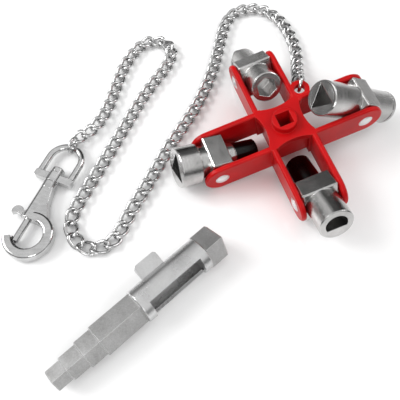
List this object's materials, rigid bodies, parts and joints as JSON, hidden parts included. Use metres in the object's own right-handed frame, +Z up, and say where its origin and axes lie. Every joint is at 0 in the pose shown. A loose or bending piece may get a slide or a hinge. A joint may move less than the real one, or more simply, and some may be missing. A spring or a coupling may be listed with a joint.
{
  "type": "multi utility key",
  "caption": "Red cross holding four swinging double-ended cabinet keys, with a curb chain, a swivel snap hook and a loose stepped square key.",
  "frame": {"origin": "centre of the floor area that the whole set covers, on the floor", "axes": "+Z up; +X along the right-hand arm and +Y along the upper arm of the cross, seen from above"},
  "size_m": [0.1798, 0.1598, 0.0375],
  "materials": {
    "red_casting": "satin",
    "key_metal": "satin",
    "rivet_steel": "satin",
    "chain_chrome": "polished",
    "snap_chrome": "polished",
    "spring_steel": "satin",
    "step_metal": "matt",
    "sleeve_steel": "brushed"
  },
  "bodies": {
    "cross_frame": {"cross_body": "red_casting", "right_pin": "rivet_steel", "upper_pin": "rivet_steel", "left_pin": "rivet_steel", "lower_pin": "rivet_steel", "oval_link": "chain_chrome", "curb_chain": "chain_chrome", "jump_ring": "chain_chrome", "snap_eye": "snap_chrome", "step_bar": "step_metal", "step_sleeve": "sleeve_steel", "step_drive": "step_metal"},
    "right_key": {"small_triangle_key": "key_metal"},
    "upper_key": {"spindle_key": "key_metal"},
    "left_key": {"large_triangle_key": "key_metal"},
    "lower_key": {"half_moon_key": "key_metal"},
    "snap_hook": {"hook_body": "snap_chrome", "bolt_spring": "spring_steel"},
    "snap_bolt": {"hook_bolt": "snap_chrome", "thumb_tab": "snap_chrome"}
  },
  "joints": [
    {"name": "right_key_swing", "type": "hinge", "parent": "cross_frame", "child": "right_key", "pos_m": [0.06777, -0.01175, 0.01957], "axis": [0, 0.9976, 0.0698], "range_deg": [-132.4, 47.6]},
    {"name": "upper_key_swing", "type": "hinge", "parent": "cross_frame", "child": "upper_key", "pos_m": [0.03575, 0.02106, 0.01632], "axis": [-0.9854, 0.0119, -0.1698], "range_deg": [-121.1, 58.9]},
    {"name": "left_key_swing", "type": "hinge", "parent": "cross_frame", "child": "left_key", "pos_m": [0.00372, -0.01098, 0.00853], "axis": [0, -0.9976, -0.0698], "range_deg": [-70.9, 109.1]},
    {"name": "lower_key_swing", "type": "hinge", "parent": "cross_frame", "child": "lower_key", "pos_m": [0.03575, -0.04378, 0.01178], "axis": [0.9854, -0.0119, 0.1698], "range_deg": [-68, 112]},
    {"name": "snap_swivel", "type": "hinge", "parent": "cross_frame", "child": "snap_hook", "pos_m": [-0.06365, 0.00764, 0.0031], "axis": [-0.6691, -0.7431, 0], "continuous": true},
    {"name": "bolt_slide", "type": "slide", "parent": "snap_hook", "child": "snap_bolt", "axis": [0.6691, 0.7431, 0], "range_m": [0, 0.0088], "stiffness_N_per_m": 300, "springref_m": -0.004, "deforming": ["bolt_spring"]}
  ]
}
